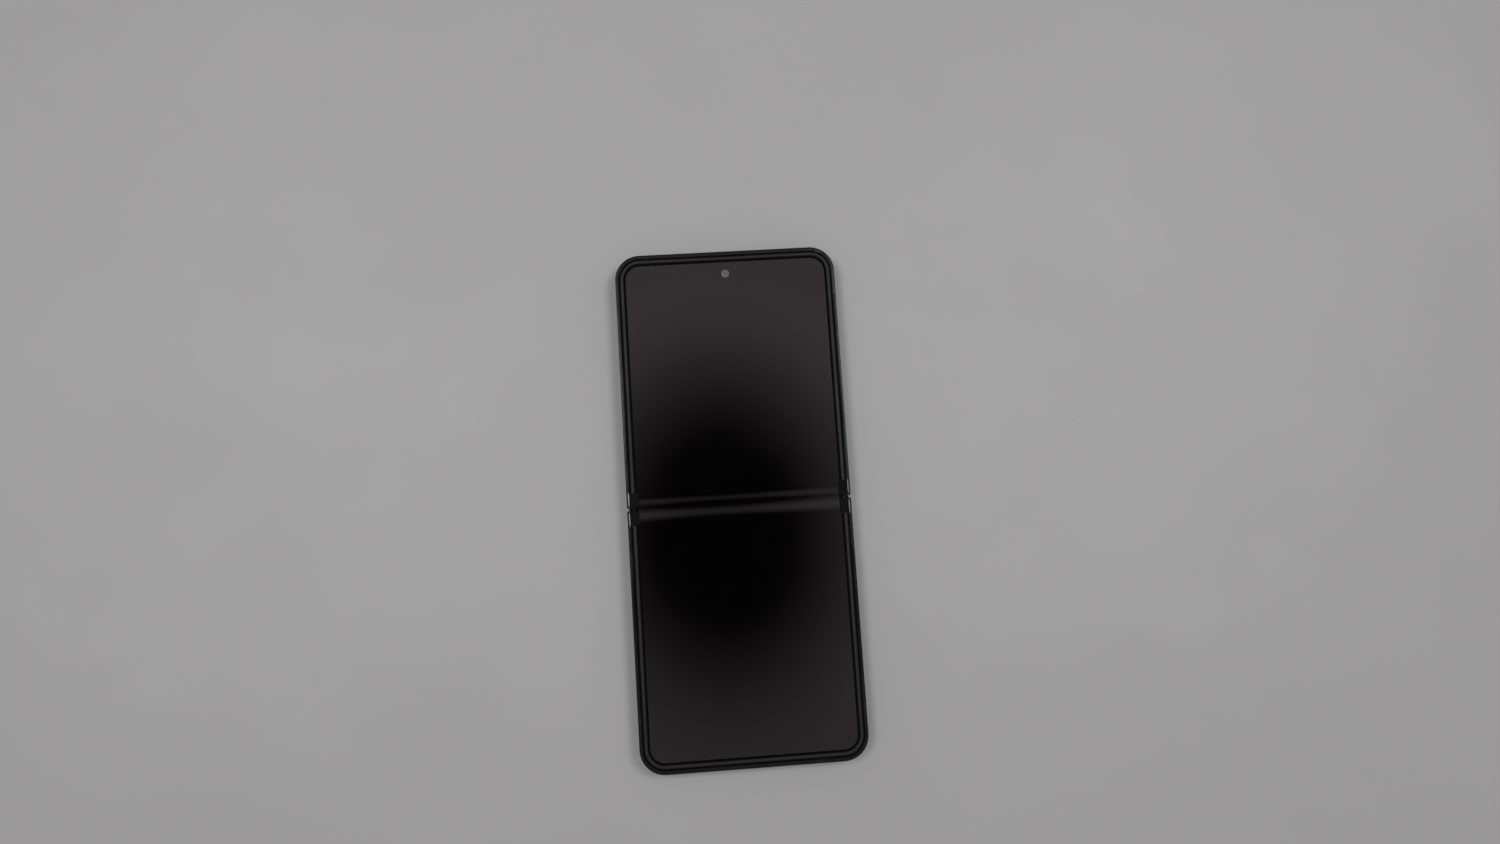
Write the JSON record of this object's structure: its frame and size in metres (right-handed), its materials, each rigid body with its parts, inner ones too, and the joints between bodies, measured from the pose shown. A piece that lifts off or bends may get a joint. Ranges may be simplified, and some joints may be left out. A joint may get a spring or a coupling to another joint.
{
  "type": "foldable smartphone",
  "caption": "Clamshell smartphone that folds in half about a geared two-axis hinge, with a flexible screen, raised soft screen rim, side keys, card tray and charging socket.",
  "frame": {"origin": "centre of the fold, on the plane that the open phone rests on", "axes": "+X towards the key side, +Y towards the end with the front camera, +Z out of the screen"},
  "size_m": [0.0725, 0.166, 0.0078],
  "materials": {
    "dark_metal": "satin",
    "break_plastic": "satin",
    "back_glass": "polished",
    "screen": "polished",
    "soft_rim": "satin",
    "steel": "brushed",
    "gear_brass": "machined",
    "board": "coated",
    "battery_pouch": "foil",
    "module_black": "moulded",
    "flex": "film",
    "lens_glass": "polished",
    "flash_lens": "frosted"
  },
  "bodies": {
    "spine": {"spine_cover": "dark_metal", "spine_end_caps": "dark_metal", "hinge_brackets": "steel", "hinge_pins": "steel", "friction_washers": "gear_brass", "fold_display": "screen", "fold_flex": "flex"},
    "lower_half": {"lower_frame": "dark_metal", "lower_antenna_breaks": "break_plastic", "lower_back_glass": "back_glass", "lower_rim": "soft_rim", "lower_rim_ends": "soft_rim", "lower_display": "screen", "lower_support_plate": "steel", "lower_battery": "battery_pouch", "charging_board": "board", "usb_c_port": "steel", "loudspeaker": "module_black", "vibration_motor": "steel", "charging_coil": "gear_brass", "bottom_microphone": "steel", "lower_magnets": "steel", "lower_rail_arms": "steel", "lower_slot_brackets": "steel", "lower_screws": "steel", "lower_flex": "flex"},
    "upper_half": {"upper_frame": "dark_metal", "upper_antenna_breaks": "break_plastic", "upper_back_glass": "back_glass", "cover_panel": "back_glass", "upper_rim": "soft_rim", "upper_rim_ends": "soft_rim", "upper_display": "screen", "upper_support_plate": "steel", "upper_battery": "battery_pouch", "main_board": "board", "board_shields": "steel", "front_camera": "module_black", "earpiece": "module_black", "earpiece_mesh": "steel", "rear_cameras": "module_black", "rear_lens_rings": "dark_metal", "rear_lens_glass": "lens_glass", "flash_led": "flash_lens", "cover_display": "screen", "sim_reader": "steel", "key_switches": "flex", "upper_magnets": "steel", "upper_rail_arms": "steel", "upper_slot_brackets": "steel", "upper_screws": "steel", "upper_flex": "flex"},
    "volume_key": {"volume_key": "dark_metal"},
    "power_key": {"power_key": "dark_metal"},
    "sim_tray": {"sim_tray": "dark_metal"},
    "lower_sync_arms": {"lower_sync_arms": "steel"},
    "upper_sync_arms": {"upper_sync_arms": "steel"},
    "lower_idlers": {"lower_idlers": "gear_brass"},
    "upper_idlers": {"upper_idlers": "gear_brass"}
  },
  "joints": [
    {"name": "fold_lower", "type": "hinge", "parent": "spine", "child": "lower_half", "pos_m": [0, -0.00137, 0.00748], "axis": [-1, 0, 0], "range_deg": [0, 90.4]},
    {"name": "fold_upper", "type": "hinge", "parent": "spine", "child": "upper_half", "pos_m": [0, 0.00137, 0.00748], "axis": [1, 0, 0], "range_deg": [0, 90.4]},
    {"name": "lower_sync_turn", "type": "hinge", "parent": "spine", "child": "lower_sync_arms", "pos_m": [0, -0.00315, 0.0052], "axis": [1, 0, 0], "range_deg": [-90.4, 0]},
    {"name": "upper_sync_turn", "type": "hinge", "parent": "spine", "child": "upper_sync_arms", "pos_m": [0, 0.00315, 0.0052], "axis": [1, 0, 0], "range_deg": [0, 90.4]},
    {"name": "lower_idler_turn", "type": "hinge", "parent": "spine", "child": "lower_idlers", "pos_m": [0, -0.00105, 0.0052], "axis": [1, 0, 0], "range_deg": [0, 90.4]},
    {"name": "upper_idler_turn", "type": "hinge", "parent": "spine", "child": "upper_idlers", "pos_m": [0, 0.00105, 0.0052], "axis": [1, 0, 0], "range_deg": [-90.4, 0]},
    {"name": "volume_rock", "type": "hinge", "parent": "upper_half", "child": "volume_key", "pos_m": [0.03375, 0.0495, 0.0039], "axis": [0, 0, 1], "range_deg": [-1.6, 1.6], "stiffness_Nm_per_rad": 0.4},
    {"name": "power_press", "type": "slide", "parent": "upper_half", "child": "power_key", "axis": [-1, 0, 0], "range_m": [0, 0.00025], "stiffness_N_per_m": 800},
    {"name": "tray_slide", "type": "slide", "parent": "upper_half", "child": "sim_tray", "axis": [-1, 0, 0], "range_m": [0, 0.0225]}
  ],
  "couplings": [
    {"joint": "fold_upper", "follows": "fold_lower", "ratio": 1},
    {"joint": "lower_sync_turn", "follows": "fold_lower", "ratio": -1},
    {"joint": "upper_sync_turn", "follows": "fold_lower", "ratio": 1},
    {"joint": "lower_idler_turn", "follows": "fold_lower", "ratio": 1},
    {"joint": "upper_idler_turn", "follows": "fold_lower", "ratio": -1}
  ]
}
